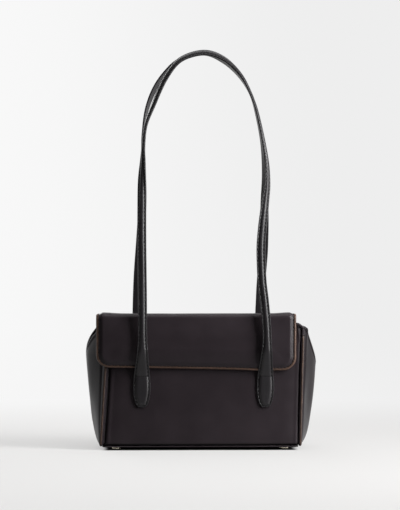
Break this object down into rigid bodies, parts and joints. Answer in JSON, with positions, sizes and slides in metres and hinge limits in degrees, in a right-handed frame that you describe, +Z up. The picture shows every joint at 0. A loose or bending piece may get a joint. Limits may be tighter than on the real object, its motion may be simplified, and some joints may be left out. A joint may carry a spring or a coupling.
{
  "type": "shoulder bag",
  "caption": "Boxy leather shoulder bag with folded side gussets, a flap that slides up behind the front strap, and long padded shoulder straps.",
  "frame": {"origin": "on the floor under the middle of the bag, which stands on its four feet", "axes": "+X to the right seen from the front, +Y to the back of the bag, +Z up; the flap's drop and the front strap are on the -Y side"},
  "size_m": [0.269, 0.1064, 0.4535],
  "materials": {
    "body_leather": "smooth dark leather with a soft sheen",
    "strap_leather": "dark leather with a finer grain, padded and stitched",
    "painted_edge": "rolled leather seam with a brown painted edge",
    "lining": "dark matt lining",
    "board": "hidden stiffening board",
    "strap_filler": "soft felt filler",
    "foot_metal": "pale polished metal",
    "magnet": "nickel plated disc"
  },
  "bodies": {
    "body": {"front_panel": "body_leather", "back_panel": "body_leather", "base_panel": "body_leather", "gusset_left": "body_leather", "gusset_right": "body_leather", "corner_piping_front_left": "painted_edge", "corner_piping_front_right": "painted_edge", "corner_piping_back_left": "painted_edge", "corner_piping_back_right": "painted_edge", "mouth_binding_front": "body_leather", "gusset_binding_left": "body_leather", "gusset_binding_right": "body_leather", "base_board": "board", "front_lining": "lining", "back_lining": "lining", "base_lining": "lining", "gusset_lining_left": "lining", "gusset_lining_right": "lining", "slip_pocket": "lining", "panel_magnet": "magnet", "foot_front_left": "foot_metal", "foot_front_right": "foot_metal", "foot_back_left": "foot_metal", "foot_back_right": "foot_metal", "foot_washer_front_left": "foot_metal", "foot_washer_front_right": "foot_metal", "foot_washer_back_left": "foot_metal", "foot_washer_back_right": "foot_metal", "strap_tab_front_left": "strap_leather", "strap_tab_front_right": "strap_leather", "strap_tab_back_left": "strap_leather", "strap_tab_back_right": "strap_leather", "strap_patch_front_left": "board", "strap_patch_front_right": "board", "strap_patch_back_left": "board", "strap_patch_back_right": "board"},
    "flap_top": {"flap_top_outer": "body_leather", "flap_top_stiffener": "board", "flap_top_lining": "lining"},
    "flap_drop": {"flap_drop_outer": "body_leather", "flap_drop_stiffener": "board", "flap_drop_lining": "lining", "flap_magnet": "magnet"},
    "front_strap": {"front_strap_face": "strap_leather", "front_strap_filler": "strap_filler", "front_strap_backing": "strap_leather"},
    "back_strap": {"back_strap_face": "strap_leather", "back_strap_filler": "strap_filler", "back_strap_backing": "strap_leather"}
  },
  "joints": [
    {"name": "flap_hinge", "type": "hinge", "parent": "body", "child": "flap_top", "pos_m": [0, 0.0298, 0.1542], "axis": [-1, 0, 0], "range_deg": [0, 85]},
    {"name": "flap_fold", "type": "hinge", "parent": "flap_top", "child": "flap_drop", "pos_m": [0, -0.03586, 0.1505], "axis": [-1, 0, 0], "range_deg": [-53, 0]},
    {"name": "front_strap_swing", "type": "hinge", "parent": "body", "child": "front_strap", "pos_m": [0, -0.04159, 0.08415], "axis": [1, 0, 0], "range_deg": [0, 100]},
    {"name": "back_strap_swing", "type": "hinge", "parent": "body", "child": "back_strap", "pos_m": [0, 0.04159, 0.08415], "axis": [-1, 0, 0], "range_deg": [0, 100]}
  ],
  "couplings": [
    {"joint": "flap_fold", "follows": "flap_hinge", "ratio": -0.62}
  ]
}
